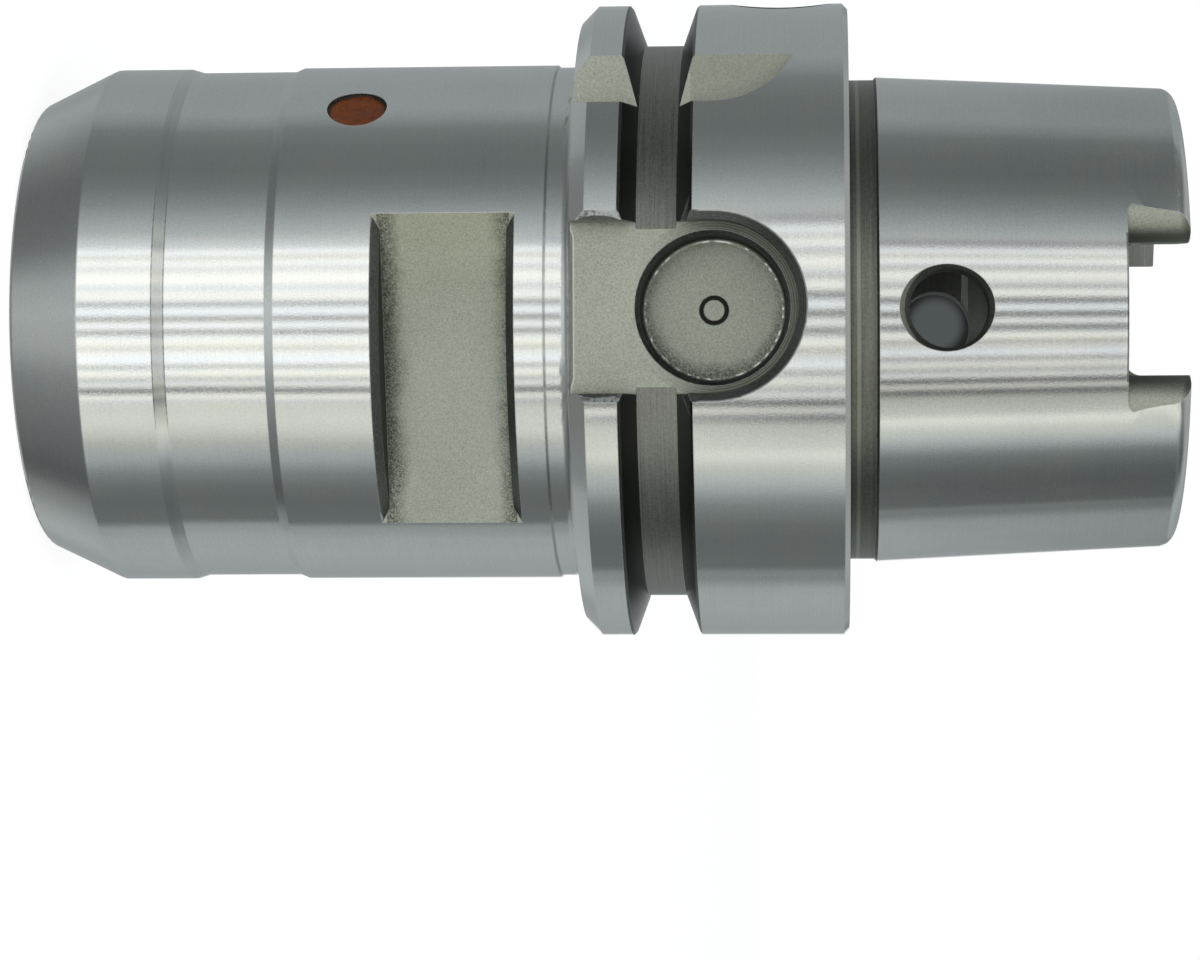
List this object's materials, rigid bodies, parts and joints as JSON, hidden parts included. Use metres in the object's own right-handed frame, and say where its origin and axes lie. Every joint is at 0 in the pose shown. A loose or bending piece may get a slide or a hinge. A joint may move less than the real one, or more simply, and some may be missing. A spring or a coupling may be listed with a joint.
{
  "type": "hydraulic chuck",
  "caption": "Hydraulic expansion chuck with a hollow taper shank, a grooved and slotted flange, wrench flats and a round tool bore.",
  "frame": {"origin": "centre of the tool bore's mouth, in the plane of the nose face", "axes": "+Z along the spindle axis towards the hollow shank, -Y towards the first key slot with the balance hole, -X towards the side with the data-chip hole"},
  "size_m": [0.063, 0.063, 0.112],
  "materials": {
    "chuck_body": "ground and polished steel, milled flats and slots",
    "expansion_sleeve": "honed steel",
    "clamping_screw": "black-oxide steel",
    "piston": "ground steel",
    "piston_seal": "black elastomer",
    "piston_backup_ring": "off-white hard plastic",
    "vent_screw": "black-oxide steel",
    "vent_ball": "polished ball steel",
    "vent_plug": "orange-brown sealing compound",
    "length_screw": "black-oxide steel",
    "length_screw_seal": "black elastomer"
  },
  "bodies": {
    "holder": {"chuck_body": "chuck_body", "expansion_sleeve": "expansion_sleeve", "vent_screw": "vent_screw", "vent_ball": "vent_ball", "vent_plug": "vent_plug"},
    "pressure_piston": {"piston": "piston", "piston_seal": "piston_seal", "piston_backup_ring": "piston_backup_ring"},
    "clamping_screw": {"clamping_screw": "clamping_screw"},
    "length_screw_ring": {"length_screw_seal": "length_screw_seal"},
    "length_screw": {"length_screw": "length_screw"}
  },
  "joints": [
    {"name": "piston_slide", "type": "slide", "parent": "holder", "child": "pressure_piston", "axis": [0.2588, -0.9659, 0], "range_m": [0, 0.005]},
    {"name": "clamping_screw_turn", "type": "hinge", "parent": "pressure_piston", "child": "clamping_screw", "pos_m": [0.017, 0.00456, 0.0305], "axis": [0.2588, -0.9659, 0], "range_deg": [0, 1800]},
    {"name": "length_screw_travel", "type": "slide", "parent": "holder", "child": "length_screw_ring", "axis": [0, 0, -1], "range_m": [0, 0.008]},
    {"name": "length_screw_turn", "type": "hinge", "parent": "length_screw_ring", "child": "length_screw", "pos_m": [0, 0, 0.057], "axis": [0, 0, -1], "range_deg": [0, 2880]}
  ],
  "couplings": [
    {"joint": "clamping_screw_turn", "follows": "piston_slide", "rad_per_m": 6283.2},
    {"joint": "length_screw_turn", "follows": "length_screw_travel", "rad_per_m": 6283.2}
  ]
}
